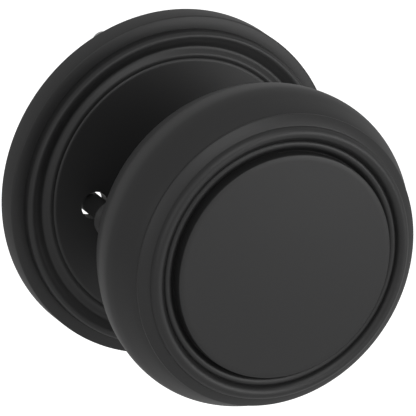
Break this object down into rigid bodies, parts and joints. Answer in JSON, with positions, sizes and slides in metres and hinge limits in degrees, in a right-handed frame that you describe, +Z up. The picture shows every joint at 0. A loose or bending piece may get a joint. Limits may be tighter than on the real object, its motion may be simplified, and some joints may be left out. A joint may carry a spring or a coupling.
{
  "type": "door knob",
  "caption": "Round satin-black privacy door knob on a stepped round rose, with a push pin beside its neck.",
  "frame": {"origin": "centre of the rose's back plane, where the knob's axis meets the door's face", "axes": "+Y into the door along the knob's axis, +Z up, -Y out of the door towards the hand"},
  "size_m": [0.0666, 0.0956, 0.0666],
  "materials": {
    "black_rose": "satin",
    "black_knob": "satin",
    "black_pin": "satin",
    "zinc_plate": "satin",
    "spring_steel": "satin",
    "screw_steel": "satin",
    "nylon": "matt"
  },
  "bodies": {
    "mount": {"rose": "black_rose", "mounting_plate": "zinc_plate", "rose_clip": "spring_steel", "shank_bushing": "nylon", "spring_post": "zinc_plate", "screw_washers": "zinc_plate", "fixing_screws": "screw_steel", "pin_guide": "zinc_plate", "guide_rivet": "screw_steel", "return_spring": "spring_steel"},
    "knob": {"knob_shank": "zinc_plate", "spindle": "screw_steel", "retaining_ring": "spring_steel", "drive_cam": "zinc_plate", "spring_washer": "spring_steel", "rear_circlip": "spring_steel", "knob_body": "black_knob", "knob_face": "black_knob", "set_screw": "screw_steel"},
    "pin": {"privacy_pin": "black_pin", "pin_head": "black_pin", "pin_stop_clip": "spring_steel"}
  },
  "joints": [
    {"name": "knob_turn", "type": "hinge", "parent": "mount", "child": "knob", "pos_m": [0, 0, 0], "axis": [0, 1, 0], "range_deg": [-45, 45], "stiffness_Nm_per_rad": 0.4, "deforming": ["return_spring"]},
    {"name": "pin_push", "type": "slide", "parent": "mount", "child": "pin", "axis": [0, 1, 0], "range_m": [0, 0.006]}
  ]
}
